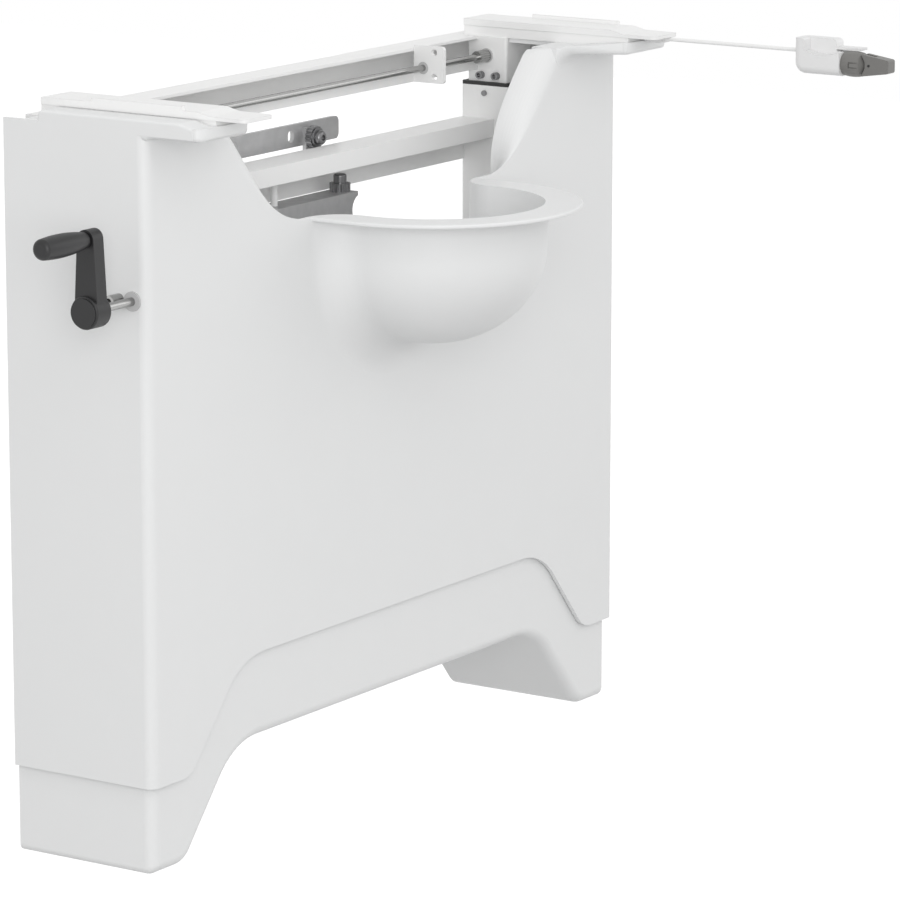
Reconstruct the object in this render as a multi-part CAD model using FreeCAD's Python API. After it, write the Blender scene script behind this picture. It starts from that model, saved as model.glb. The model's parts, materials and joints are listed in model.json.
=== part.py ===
import FreeCAD, Part
import math
import os

# Crank-operated wall frame that raises and lowers a washbasin, with its two telescoping covers.
# Millimetres. X runs right along the wall, Y runs into the wall (the wall face is Y = 0), Z is up.
# The origin is the centre of the four wall bolts, on the wall face.

V = FreeCAD.Vector

# Covers
COVER_SIDE_ROOM = 40.0       # column axes to the lower cover's sides
COVER_DEPTH = 138.0          # lower cover, front face to back edge
WALL_GAP = 2.0               # air between the covers' back edges and the wall
LOWER_WALL = 3.5
UPPER_WALL = 4.0
COVER_GAP = 1.0              # air between the nested covers
COVER_EDGE_R = 9.0           # rounded front edges of both covers
LOWER_EDGE_Z = -280.0        # bottom of the lower cover's feet
LOWER_PANEL_DROP = 36.0      # top of the lower cover's hidden front panel, below the bowl's rim
LOWER_SIDE_H = 420.0         # lower cover, feet to the top of its hidden sides
SHOULDER_HALF = 205.0        # where the hidden front panel starts to step down to the sides
SHOULDER_RUN = 70.0
COVER_STEP = 75.0            # bottom edge of the upper cover above that of the lower one
COVER_TOP_Z = 336.0          # top of the upper cover, where the arms lie on it
ARCH_RISE = 85.0
FOOT_W = 47.0                # width of a foot beside the arch
ARCH_TOP_HALF = 231.0        # half width of the arch under its flat top
ARCH_FOOT_R = 25.0
ARCH_TOP_R = 70.0
FOOT_CORNER_R = 6.0

# Drain notch and trap bowl in the upper cover
RIM_Z = 236.0
NOTCH_SIDE = 67.0            # notch at the cover's top, inside the column axes
NOTCH_FLOOR_HALF = 185.0     # half width of its back edge at the bowl's rim
NOTCH_KNEE_HALF = 194.0      # bend of the back edge
NOTCH_KNEE_H = 50.0          # the same, above the rim
NOTCH_SWEEP = 59.0           # how far its front edge runs level beside the bowl
NOTCH_ANKLE_H = 26.0         # how far its back edge stands upright over the rim
NOTCH_TOP_R = 24.0           # rounding of the cover's corner over the notch
ROLL_R = 26.0                # edge of the notch, rolled in by a quarter turn
ROLL_CLEAR = 3.0             # rolled panel above the lower cover's top
ROLL_STEPS = 12
ROLL_BACKING = 6.0           # extra thickness of the roll's wall towards the front, in walls
BOWL_R = 101.0
BOWL_DEPTH = 121.0
BOWL_ROUND_H = 84.0          # height of the bowl's elliptical floor, under its wall
BOWL_TAPER = 4.0             # how much the wall draws in on the way down
BOWL_SETOUT = 37.0           # bowl's axis in front of the cover's face
BOWL_FLARE_R = 30.0          # flare where the bowl grows out of the cover
FLANGE_W = 26.0
FLANGE_T = 3.6
FLANGE_EDGE_R = 1.5

# Lips of the upper cover that reach forward under the arms
LIP_REACH = 55.0
LIP_T = 11.0                 # height of a lip at its nose
LIP_RISE = 5.0               # its top there, above the cover's top
LIP_NOSE = 7.0               # rounding of the nose from below
LIP_COVE_H = 14.0            # cove under a lip, up from the cover's face
LIP_COVE_RUN = 12.0
LIP_COVE_LEAN = 12.0         # how much lower the cove is at the cover's side
LIP_BACK_INSET = 58.0        # inner edge of a lip inside the column axis, at the cover's face
LIP_FRONT_INSET = 24.0       # the same at the nose
LIP_BACK_R = 10.0            # rounded lower inner edge, at the cover's face
LIP_FRONT_R = 4.0
LIP_CORNER_R = 14.0          # rounded corners of the nose, seen from above
LIP_SIDE_INSET = 0.4         # outer edge of a lip inside the cover's side
LIP_STEPS = 7

# Top plates of the upper cover between its sides and the inner columns
TOP_T = 4.0
TOP_GAP = 0.5                # to the inner columns
TOP_BACK_Y = -21.0
TOP_TUCK = 2.0               # inner edge of a plate, in under the arm

# Ridges on the upper cover, outside the arms
RIDGE_BACK_Y = -37.0
RIDGE_FRONT_RUN = 14.0       # slope of its front end
RIDGE_SETBACK = 1.5          # front end behind the rounding of the lip's nose
RIDGE_GAP = 0.5              # to the arm
RIDGE_R = 4.0
RIDGE_EDGE_R = 2.0

# Columns
COLUMN_HALF = 310.0          # column axes left and right of the middle
COLUMN_SETOUT = 47.0         # column axes in front of the wall
OUTER_SIZE = 50.0
OUTER_WALL = 2.5
OUTER_FOOT_H = 60.0          # outer column's lower end above the feet
OUTER_TOP_Z = 292.0
INNER_SIZE = 42.0
INNER_WALL = 3.0
INNER_LENGTH = 540.0
COLUMN_EDGE_R = 2.5
CAP_T = 3.2
CAP_RUN_GAP = 0.3            # guide cap to inner column
CAP_SKIRT = 14.0
GLIDE_H = 30.0
BASE_T = 8.0
LIFT_STROKE = 300.0

# Spindle drive in the columns
SPINDLE_R = 7.0
JOURNAL_R = 5.0
RUN_GAP = 0.05               # radial running clearance of every shaft
SPINDLE_BELOW_NUT = 5.0      # thread left in the nut at the top of the stroke
NUT_R = 15.0
NUT_H = 30.0
NUT_TOP_Z = 270.0
TUBE_WALL = 4.0
BLOCK_TOP_Z = 299.0
BLOCK_T = 12.0
BLOCK_GAP = 0.1
CHEEK_T = 4.6
CHEEK_H = 12.0
BEARING_R = 11.0
BEARING_H = 8.0
GEAR_R = 12.0
GEAR_FACE = 6.0              # tooth width along the cone
GEAR_HUB_R = 7.0
GEAR_HUB_L = 4.6
GEAR_TEETH = 16
GEAR_TOOTH_GAP = 0.15
TOOTH_DEPTH = 1.6
TOOTH_W = 1.6

# Cross shaft
SHAFT_R = 3.0
SHAFT_Z = 319.0
COLLAR_R = 5.6
COLLAR_L = 16.0
BUSH_WALL = 2.5
BUSH_FLANGE_R = 6.6
BUSH_FLANGE_T = 1.2

# Rear top beam
BEAM_BACK_Y = -6.0
BEAM_D = 31.0
BEAM_H = 30.0
BEAM_T = 2.5
BEAM_LIP = 8.0

# Fixing plate on the beam
FIX_X = 185.0
FIX_T = 4.0
FIX_REACH = 32.0             # forward of the beam
FIX_RISE = 3.0               # above the beam
FIX_HOLE_R = 3.0
FIX_HOLE_SPACING = 22.0
FIX_HOLE_EDGE = 10.0         # hole centres behind the plate's front edge
FIX_CORNER_R = 3.0

# Arms
ARM_W = 38.0
ARM_BACK_Y = -21.0
ARM_BAR_FRONT_Y = -196.0
ARM_STEP_Y = -178.0          # where the top slopes down to the thin tongue
ARM_STEP_RUN = 13.0
ARM_STEP_H = 3.0
ARM_TIP_Y = -225.0
ARM_BAR_T = 9.0
ARM_PLATE_T = 6.0
ARM_LIP = 0.8                # top plate past the bar, on each side
ARM_RIB_W = 4.0
ARM_RIB_H = 3.2
ARM_RIB_BACK_Y = -72.0
ARM_RIB_FRONT_Y = -163.0
ARM_TIP_R = 6.0

# Column screws
SOCKET_R = 2.0
SOCKET_HEAD_R = 3.5
SOCKET_HEAD_H = 5.0
SOCKET_HEX_R = 2.0
SOCKET_SPACING = 16.5
SOCKET_FORWARD = 2.5         # screw pair in front of the column's axis
SOCKET_Z = 301.0
CAP_SCREW_R = 1.6
CAP_SCREW_HEAD_R = 2.6
CAP_SCREW_HEAD_H = 1.6
CAP_SCREW_DROP = 7.0

# Middle cross beam
MID_TOP_Z = 262.0
MID_BACK_Y = -22.0
MID_D = 35.0
MID_T = 3.0
MID_LIP = 16.5
MID_WEB = 38.5

# Wall rails
RAIL_T = 6.0
RAIL_H = 40.0
BOLT_INSET = 50.0            # wall bolts inside the column axes
BOLT_RISE = 140.0            # wall bolt rows above and below the origin
BOLT_HOLE_R = 5.5

# Service plate on the wall, carried by two lugs on the middle beam
PLATE_L = 230.0
PLATE_H = 20.0
PLATE_T = 4.0
PLATE_LOW_Z = 261.5
PLATE_CORNER_R = 5.0
PLATE_SLOT_X = 42.0
PLATE_SLOT_L = 11.0
PLATE_SLOT_R = 4.5
LUG_X = 67.5
LUG_W = 16.0
LUG_T = 4.0
LUG_DROP = 20.0              # lug foot below the plate's lower edge
SERVICE_BOLT_R = 4.0
SERVICE_HEAD_R = 6.5
SERVICE_HEAD_H = 5.0
SERVICE_HEX_R = 2.6
SERVICE_HEAD_ROUND = 3.0
SERVICE_BOLT_DROP = 3.0      # bolts below the plate's middle
SERVICE_RING_R = 10.0
SERVICE_RING_T = 6.0
SERVICE_WASHER_R = 8.5
SERVICE_WASHER_T = 2.0
RING_NOTCHES = 18
RING_NOTCH_R = 0.9

# Pipe bracket under the middle beam
PIPE_LEFT = -46.0
PIPE_RIGHT = 74.0
PIPE_BACK_Y = -27.0
PIPE_D = 26.0
PIPE_T = 3.0
PIPE_TOP_Z = 223.5
PIPE_FALL = 34.0
PIPE_SCALLOP_R = 13.0
PIPE_SCALLOP_PAST = 4.3      # first scallop's centre past the angle's end
PIPE_SCALLOP_STEP = 13.0     # from the first scallop to the second
PIPE_SCALLOP_FALL = 17.0
PIPE_HOLE_PITCH = 13.0
PIPE_HOLE_R = 2.2
PIN_R = 3.0
PIN_X = -34.0
PIN_PITCH = 40.0
PIPE_BOLT_X = 65.0
PIPE_BOLT_R = 4.0
PIPE_NUT_R = 9.2
PIPE_NUT_H = 7.5
PIPE_HEAD_R = 5.8
PIPE_HEAD_H = 8.0
PIPE_HEAD_ROUND = 2.0

# Lower cover's brackets
TIE_H = 40.0
TIE_D = 30.0
TIE_TOP_Z = 60.0

# Crank
CRANK_Y = -131.0
CRANK_Z = 198.0
CRANK_SHAFT_R = 3.5
CRANK_STANDOFF = 45.0        # hub in front of the cover's side
CRANK_RADIUS = 58.0
HUB_R = 13.5
HUB_L = 19.0
CRANK_ARM_T = 13.0
CRANK_ARM_HUB_R = 11.5
CRANK_ARM_TOP_R = 8.2
CRANK_EDGE_R = 1.6
CRANK_CAP_R = 12.0
CRANK_CAP_T = 1.4
GRIP_L = 56.0
GRIP_END_R = 8.6
GRIP_BELLY_R = 9.4
GRIP_NECK_R = 6.6
GRIP_GAP = 1.5
GRIP_END_ROUND = 4.0
GRIP_BELLY_AT = 25.0         # thickest place, from the arm's end
GRIP_PIN_R = 3.0
GRIP_PIN_FREE = 12.0         # solid end of the grip past its pin
CRANK_BUSH_R = 6.0
CRANK_BUSH_FLANGE_R = 8.0
CRANK_BUSH_FLANGE_T = 2.0
EYE_Y = -117.0
EYE_R = 5.2
EYE_BORE_R = 3.0
EYE_L = 14.0
EYE_BORE_L = 9.0

# Belt between the crank shaft and the cross shaft
BELT_INSET = 48.0            # belt inside the left column's axis
BELT_W = 8.0
BELT_T = 1.0
PULLEY_R = 7.5
PULLEY_FLANGE_R = 9.0
PULLEY_FLANGE_T = 1.0
DRIVE_STEP = 12.0            # drive plate beside the belt
DRIVE_T = 4.0
DRIVE_R = 11.0
DRIVE_TAB_H = 16.0

# Hand control on its rod at the right arm
ROD_STEP = 8.0               # rod outside the column's axis
ROD_Z = 343.0
ROD_R = 1.75
ROD_BACK_Y = -201.0
CLIP_L = 18.0
CLIP_W = 12.0
CLIP_T = 5.0
HAND_BACK_Y = -356.0
HAND_L = 46.0
HAND_W = 24.0
HAND_H = 20.5                # trough's edges above the housing's underside
HAND_LOW_Z = 324.0
HAND_HEEL_R = 10.0
HAND_SIDE_R = 7.0            # rounded long lower edges
HOOK_TOP_Z = 355.0
HOOK_L = 11.0
HOOK_EDGE_R = 1.5
SADDLE_DEPTH = 3.0           # trough between the hook and the housing's front end
GUARD_T = 12.0               # wall behind the trough
GUARD_L = 26.0               # its length in front of the hook
GUARD_R = 4.0
VISOR_L = 24.0               # thin plate from the wall out over the grey body
VISOR_T = 2.0
VISOR_GAP = 0.3
GREY_L = 17.5
GREY_BACK_R = 10.3           # barrel shape: radius at the housing, in the middle and at the front
GREY_R = 11.3
GREY_FRONT_R = 10.4
GREY_NOSE_L = 3.6            # blunt cone at the front
GREY_NOSE_R = 2.8
GREY_Z = 334.7
STRIP_L = 9.0                # grooved strip on the grey body's side, back from its front
STRIP_H = 3.4
STRIP_GROOVE = 0.9
STRIP_DEPTH = 1.2
LEVER_L = 27.0
LEVER_ROOT_H = 19.5
LEVER_TIP_H = 11.5
LEVER_W = 12.0
LEVER_PIVOT = 8.6            # pivot in front of the grey body's barrel
LEVER_GAP = 1.1
LEVER_ROOT_R = 1.0
LEVER_TIP_R = 2.0
LEVER_EYE_R = 4.0            # tongue round the pivot, between the lever's cheeks
LEVER_EYE_T = 4.0
LEVER_SIDE_GAP = 0.3
LEVER_PIN_R = 1.2

# Values worked out from the sizes above
lower_half = COLUMN_HALF + COVER_SIDE_ROOM
lower_front_y = -(WALL_GAP + COVER_DEPTH)
lower_back_y = -WALL_GAP
upper_in_half = lower_half + COVER_GAP
upper_half = upper_in_half + UPPER_WALL
upper_in_y = lower_front_y - COVER_GAP
upper_front_y = upper_in_y - UPPER_WALL
upper_low_z = LOWER_EDGE_Z + COVER_STEP
arch_foot_half = lower_half - FOOT_W
notch_top_half = COLUMN_HALF - NOTCH_SIDE
trim_y = upper_front_y + ROLL_R
mouth_half = BOWL_R + BOWL_FLARE_R
panel_split = notch_top_half + 2 * ROLL_R
lower_top_z = RIM_Z - LOWER_PANEL_DROP
panel_low_z = lower_top_z + ROLL_CLEAR
column_y = -COLUMN_SETOUT
socket_y = column_y - SOCKET_FORWARD
inner_face = COLUMN_HALF - INNER_SIZE / 2
outer_face = COLUMN_HALF - OUTER_SIZE / 2
column_side = COLUMN_HALF + OUTER_SIZE / 2
bolt_half = COLUMN_HALF - BOLT_INSET
belt_x = BELT_INSET - COLUMN_HALF
drive_x = belt_x + DRIVE_STEP
rod_x_at = COLUMN_HALF + ROD_STEP
outer_low_z = LOWER_EDGE_Z + OUTER_FOOT_H
outer_bore = OUTER_SIZE - 2 * OUTER_WALL
inner_bore = INNER_SIZE - 2 * INNER_WALL
inner_low_z = COVER_TOP_Z - INNER_LENGTH
nut_low_z = NUT_TOP_Z - NUT_H
spindle_low_z = nut_low_z - LIFT_STROKE - SPINDLE_BELOW_NUT
block_low_z = BLOCK_TOP_Z - BLOCK_T
beam_front_y = BEAM_BACK_Y - BEAM_D
beam_low_z = COVER_TOP_Z - BEAM_H
mid_front_y = MID_BACK_Y - MID_D
arm_plate_z = COVER_TOP_Z + ARM_BAR_T
arm_top_z = arm_plate_z + ARM_PLATE_T
arm_tongue_z = arm_top_z - ARM_STEP_H
hub_back_x = -upper_half - CRANK_STANDOFF
hub_face_x = hub_back_x - HUB_L
arm_back_x = hub_back_x - (HUB_L - CRANK_ARM_T) / 2
arm_face_x = arm_back_x - CRANK_ARM_T
grip_z = CRANK_Z + CRANK_RADIUS
bowl_y = upper_front_y - BOWL_SETOUT
bush_r = SHAFT_R + BUSH_WALL
hand_front_y = HAND_BACK_Y - HAND_L
grey_front_y = hand_front_y - GREY_L
lever_y = grey_front_y - LEVER_PIVOT


def box(x0, x1, y0, y1, z0, z1):
    return Part.makeBox(x1 - x0, y1 - y0, z1 - z0, V(x0, y0, z0))


def rod_x(x0, x1, y, z, r):
    return Part.makeCylinder(r, x1 - x0, V(x0, y, z), V(1, 0, 0))


def rod_y(y0, y1, x, z, r):
    return Part.makeCylinder(r, y1 - y0, V(x, y0, z), V(0, 1, 0))


def rod_z(z0, z1, x, y, r):
    return Part.makeCylinder(r, z1 - z0, V(x, y, z0), V(0, 0, 1))


def round_face(corners, place):
    """A flat face from (a, b, radius) corners; place puts a point (a, b) in space."""
    count = len(corners)
    stations = []
    for i in range(count):
        a, b, r = corners[i]
        here = V(a, b, 0)
        back = V(corners[i - 1][0], corners[i - 1][1], 0) - here
        ahead = V(corners[(i + 1) % count][0], corners[(i + 1) % count][1], 0) - here
        if r == 0:
            stations.append((here, None, here))
            continue
        half = back.getAngle(ahead) / 2
        reach = r / math.tan(half)
        middle = back.normalize() + ahead.normalize()
        start = here + back * reach
        end = here + ahead * reach
        crown = here + middle.normalize() * (r / math.sin(half) - r)
        stations.append((start, crown, end))
    edges = []
    for i in range(count):
        start, crown, end = stations[i]
        if crown is not None:
            edges.append(Part.Arc(place(start), place(crown), place(end)).toShape())
        following = stations[(i + 1) % count][0]
        if end.distanceToPoint(following) > 1e-6:
            edges.append(Part.LineSegment(place(end), place(following)).toShape())
    return Part.Face(Part.Wire(edges))


def slab_xz(corners, y0, y1):
    return round_face(corners, lambda p: V(p.x, y0, p.y)).extrude(V(0, y1 - y0, 0))


def slab_xy(corners, z0, z1):
    return round_face(corners, lambda p: V(p.x, p.y, z0)).extrude(V(0, 0, z1 - z0))


def slab_yz(corners, x0, x1):
    return round_face(corners, lambda p: V(x0, p.x, p.y)).extrude(V(x1 - x0, 0, 0))


def link_yz(y0, z0, r0, y1, z1, r1, x0, x1):
    """A flat link along X: the outline round two circles in the YZ plane."""
    run = V(0, y1 - y0, z1 - z0)
    tilt = math.asin((r0 - r1) / run.Length)
    along = run.normalize()
    across = V(0, -along.z, along.y)
    up = across * math.cos(tilt) + along * math.sin(tilt)
    down = across * -math.cos(tilt) + along * math.sin(tilt)
    first = V(x0, y0, z0)
    second = V(x0, y1, z1)
    edges = [
        Part.LineSegment(first + up * r0, second + up * r1).toShape(),
        Part.Arc(second + up * r1, second + along * r1, second + down * r1).toShape(),
        Part.LineSegment(second + down * r1, first + down * r0).toShape(),
        Part.Arc(first + down * r0, first - along * r0, first + up * r0).toShape(),
    ]
    return Part.Face(Part.Wire(edges)).extrude(V(x1 - x0, 0, 0))


def fillet_where(shape, radius, wanted):
    return shape.makeFillet(radius, [e for e in shape.Edges if wanted(e)])


def upright(edge):
    return edge.BoundBox.ZLength > 1 and edge.BoundBox.XLength < 1e-3 and edge.BoundBox.YLength < 1e-3


def on_plane_y(edge, y):
    return abs(edge.BoundBox.YMin - y) < 1e-3 and abs(edge.BoundBox.YMax - y) < 1e-3


def mirrored(shape):
    return shape.mirror(V(0, 0, 0), V(1, 0, 0))


def save(node, *solids):
    shape = solids[0] if len(solids) == 1 else Part.makeCompound(list(solids))
    shape.exportStep("parts/" + node + ".step")


def save_pair(node, right):
    """A right-hand piece and its mirror image, each in its own node."""
    save("right_" + node, right)
    save("left_" + node, mirrored(right))


def save_both(node, *right):
    """Right-hand pieces and their mirror images, together in one node."""
    save(node, *right, *[mirrored(piece) for piece in right])


def square_tube(x, y, size, bore, z0, z1):
    half = size / 2
    outside = fillet_where(box(x - half, x + half, y - half, y + half, z0, z1), COLUMN_EDGE_R, upright)
    hole = bore / 2
    return outside.cut(box(x - hole, x + hole, y - hole, y + hole, z0 - 1, z1 + 1))


def arch_corners(low, top, half):
    """Front outline of a cover: two feet, the arch between them, and square upper corners."""
    crown = low + ARCH_RISE
    return [
        (-half, low, FOOT_CORNER_R), (-arch_foot_half, low, ARCH_FOOT_R),
        (-ARCH_TOP_HALF, crown, ARCH_TOP_R), (ARCH_TOP_HALF, crown, ARCH_TOP_R),
        (arch_foot_half, low, ARCH_FOOT_R), (half, low, FOOT_CORNER_R),
        (half, top, 0), (-half, top, 0),
    ]


def lower_cover():
    """Fixed inner cover: a tray open to the back and the top, with the arch and feet turned in."""
    top = lower_top_z
    side_top = LOWER_EDGE_Z + LOWER_SIDE_H
    outside = slab_xz(arch_corners(LOWER_EDGE_Z, top, lower_half), lower_front_y, lower_back_y)
    outside = fillet_where(
        outside, COVER_EDGE_R,
        lambda e: on_plane_y(e, lower_front_y) and e.BoundBox.ZMin < top - 1)
    slope = math.atan2(ARCH_RISE, arch_foot_half - ARCH_TOP_HALF)
    shift = LOWER_WALL * math.tan(slope / 2)
    low = LOWER_EDGE_Z + LOWER_WALL
    crown = LOWER_EDGE_Z + ARCH_RISE + LOWER_WALL
    half = lower_half - LOWER_WALL
    hollow = [
        (-half, low, FOOT_CORNER_R - LOWER_WALL), (-arch_foot_half - shift, low, ARCH_FOOT_R - LOWER_WALL),
        (-ARCH_TOP_HALF - shift, crown, ARCH_TOP_R + LOWER_WALL),
        (ARCH_TOP_HALF + shift, crown, ARCH_TOP_R + LOWER_WALL),
        (arch_foot_half + shift, low, ARCH_FOOT_R - LOWER_WALL), (half, low, FOOT_CORNER_R - LOWER_WALL),
        (half, top + 1, 0), (-half, top + 1, 0),
    ]
    front = lower_front_y + LOWER_WALL
    inside = slab_xz(hollow, front, 1)
    inside = fillet_where(
        inside, COVER_EDGE_R - LOWER_WALL,
        lambda e: on_plane_y(e, front) and e.BoundBox.ZMin < top - 1)
    shell = outside.cut(inside)
    shoulder = SHOULDER_HALF + SHOULDER_RUN
    for side in (1, -1):
        corner = [(side * SHOULDER_HALF, top, 0), (side * shoulder, side_top, 0),
                  (side * (lower_half + 1), side_top, 0), (side * (lower_half + 1), top + 1, 0),
                  (side * SHOULDER_HALF, top + 1, 0)]
        shell = shell.cut(slab_xz(corner, lower_front_y - 1, 1))
    return shell


def bowl_profile(radius, floor_z, top_z):
    """Half section of the bowl, from its axis out: elliptical floor, then the wall opening upwards."""
    knee_z = floor_z + BOWL_ROUND_H + radius - BOWL_R
    knee = radius - BOWL_TAPER
    centre = V(0, bowl_y, knee_z)
    ellipse = Part.Ellipse(V(knee, bowl_y, knee_z), V(0, bowl_y, floor_z), centre)
    floor = Part.ArcOfEllipse(ellipse, 0, math.pi / 2).toShape()
    low = V(0, bowl_y, floor_z)
    rim = V(radius, bowl_y, top_z)
    middle = V(0, bowl_y, top_z)
    wall = Part.LineSegment(V(knee, bowl_y, knee_z), rim).toShape()
    lid = Part.LineSegment(rim, middle).toShape()
    axis = Part.LineSegment(middle, low).toShape()
    return Part.Face(Part.Wire(Part.__sortEdges__([floor, wall, lid, axis])))


def bowl_body(radius, floor_z, top_z, plane_y, back_y, flare):
    """The bowl growing out of a plate, with a flare between them; solid, to be hollowed by another."""
    profile = bowl_profile(radius, floor_z, top_z)
    round_part = profile.revolve(V(0, bowl_y, 0), V(0, 0, 1), -180)
    half_face = profile.extrude(V(0, back_y - bowl_y, 0))
    neck = half_face.fuse(mirrored(half_face)).removeSplitter()
    margin = flare + FLANGE_W
    plate = box(-radius - margin, radius + margin, plane_y, back_y, floor_z - margin, top_z)
    body = neck.fuse(plate).removeSplitter()
    body = fillet_where(
        body, flare,
        lambda e: on_plane_y(e, plane_y) and e.BoundBox.XMax < radius + 1 and e.BoundBox.XMin > -radius - 1
        and e.BoundBox.ZMax < top_z + 1e-3 and e.BoundBox.ZMin > floor_z - 1)
    return body.fuse(round_part).removeSplitter()


def between(first, second, share):
    return first + (second - first) * share


def rolled_section(turn, wall, over):
    """Closed outline of the panel beside the notch at one turn of its roll; a wall makes its hollow."""
    share = math.sin(turn)
    y = upper_front_y + ROLL_R * (1 - math.cos(turn))
    out = wall * (1 + ROLL_BACKING * (1 - share))
    level = RIM_Z - wall
    foot = V(between(mouth_half, NOTCH_FLOOR_HALF, share) + out, y, level)
    swept = between(mouth_half + NOTCH_SWEEP, NOTCH_FLOOR_HALF, share)
    ankle = V(swept + out, y, level + NOTCH_ANKLE_H * share)
    roll = ROLL_R * (1 - share) + out
    knee = V(NOTCH_KNEE_HALF + roll, y, level + NOTCH_KNEE_H)
    top = V(notch_top_half + roll, y, COVER_TOP_Z + over)
    curve = Part.BezierCurve()
    curve.setPoles([foot, ankle, knee, top])
    high = V(panel_split + over, y, COVER_TOP_Z + over)
    low = V(panel_split + over, y, panel_low_z - over)
    under = V(foot.x, y, panel_low_z - over)
    edges = [curve.toShape()]
    for start, end in ((top, high), (high, low), (low, under), (under, foot)):
        edges.append(Part.LineSegment(start, end).toShape())
    return Part.Wire(edges)


def rolled_block(first_turn, wall, over):
    """The panel beside the notch as a block, its edge sweeping from the bowl's rim up to the cover's top."""
    span = math.pi / 2 - first_turn
    sections = [rolled_section(first_turn + span * i / ROLL_STEPS, wall, over) for i in range(ROLL_STEPS + 1)]
    block = Part.makeLoft(sections, True, True)
    return block.fuse(Part.Face(sections[-1]).extrude(V(0, over, 0))) if over else block


def rolled_panel():
    """Right-hand panel beside the notch: front wall and rolled edge."""
    hollow_turn = math.acos(1 - UPPER_WALL / ROLL_R)
    hollow = rolled_block(hollow_turn, UPPER_WALL, 1)
    return rolled_block(0, 0, 0).cut(hollow)


def corner_trim():
    """What the rounded corner over the notch takes away."""
    lean = math.atan2(notch_top_half - NOTCH_KNEE_HALF, COVER_TOP_Z - RIM_Z - NOTCH_KNEE_H)
    reach = NOTCH_TOP_R * math.tan(math.pi / 4 - lean / 2)
    x = notch_top_half
    z = COVER_TOP_Z
    low = V(x - reach * math.sin(lean), 0, z - reach * math.cos(lean))
    high = V(x + reach, 0, z)
    wedge = slab_xz([(low.x, low.z, 0), (high.x, high.z, 0), (x, z + reach, 0), (low.x - reach, low.z, 0)],
                    upper_front_y - LIP_REACH, 0)
    return wedge.cut(rod_y(upper_front_y - LIP_REACH - 1, 1, high.x, z - NOTCH_TOP_R, NOTCH_TOP_R))


def lip_section(y, low, lean, top, inner, outer, radius):
    """Closed outline of a lip at one distance from the wall, with its lower corners rounded."""
    corners = [(inner, low, radius), (outer, low + lean, LIP_FRONT_R), (outer, top, 0), (inner, top, 0)]
    return round_face(corners, lambda p: V(p.x, y, p.y)).OuterWire


def lip():
    """Right-hand lip: sections along a cove under it, then round its nose, with room for the arm."""
    inner = COLUMN_HALF - LIP_BACK_INSET
    outer = upper_half - LIP_SIDE_INSET
    drawn = LIP_BACK_INSET - LIP_FRONT_INSET
    run = LIP_REACH - LIP_NOSE
    high = COVER_TOP_Z + LIP_RISE
    low = high - LIP_T
    turns = [math.pi / 2 * i / (LIP_STEPS - 1) for i in range(LIP_STEPS)]
    stations = [(LIP_COVE_RUN * (1 - math.cos(turn)), LIP_COVE_H * (1 - math.sin(turn))) for turn in turns]
    stations.append(((LIP_COVE_RUN + run) / 2, 0))
    stations.append((run, 0))
    sections = [lip_section(upper_in_y, low - LIP_COVE_H, LIP_COVE_LEAN, COVER_TOP_Z,
                            inner, outer, LIP_BACK_R)]
    for ahead, cove in stations:
        share = ahead / run
        lean = LIP_COVE_LEAN * cove / LIP_COVE_H
        sections.append(lip_section(upper_front_y - ahead, low - cove, lean, COVER_TOP_Z + LIP_RISE * share,
                                    inner + drawn * share, outer, between(LIP_BACK_R, LIP_FRONT_R, share)))
    for turn in turns[1:]:
        pull = LIP_CORNER_R * (1 - math.cos(turn))
        sections.append(lip_section(upper_front_y - run - LIP_NOSE * math.sin(turn),
                                    low + LIP_NOSE / 2 * (1 - math.cos(turn)), 0, high,
                                    inner + drawn + pull, outer - pull, LIP_FRONT_R))
    room = ARM_W / 2 + RIDGE_GAP
    pocket = box(COLUMN_HALF - room, COLUMN_HALF + room, ARM_BAR_FRONT_Y - RIDGE_GAP, 0,
                 COVER_TOP_Z, arm_top_z)
    return Part.makeLoft(sections, True, True).cut(pocket)


def ridge():
    """Right-hand ridge along the outside of the arm, from behind the cover's face out over the lip."""
    low = COVER_TOP_Z - TOP_T
    top = arm_plate_z - RIDGE_GAP
    nose = upper_front_y - LIP_REACH + LIP_NOSE + RIDGE_SETBACK
    side = [(RIDGE_BACK_Y, low, 0), (RIDGE_BACK_Y, top, RIDGE_R), (nose + RIDGE_FRONT_RUN, top, RIDGE_R),
            (nose, COVER_TOP_Z + LIP_RISE, 0), (nose, low, 0)]
    inner = COLUMN_HALF + max(INNER_SIZE / 2 + TOP_GAP, ARM_W / 2 + ARM_LIP + RIDGE_GAP)
    block = slab_yz(side, inner, upper_half)
    return fillet_where(
        block, RIDGE_EDGE_R,
        lambda e: e.BoundBox.XMin > upper_half - 1e-3 and e.BoundBox.ZMin > COVER_TOP_Z - 1e-3
        and e.BoundBox.YMax < RIDGE_BACK_Y - 1e-3)


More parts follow.
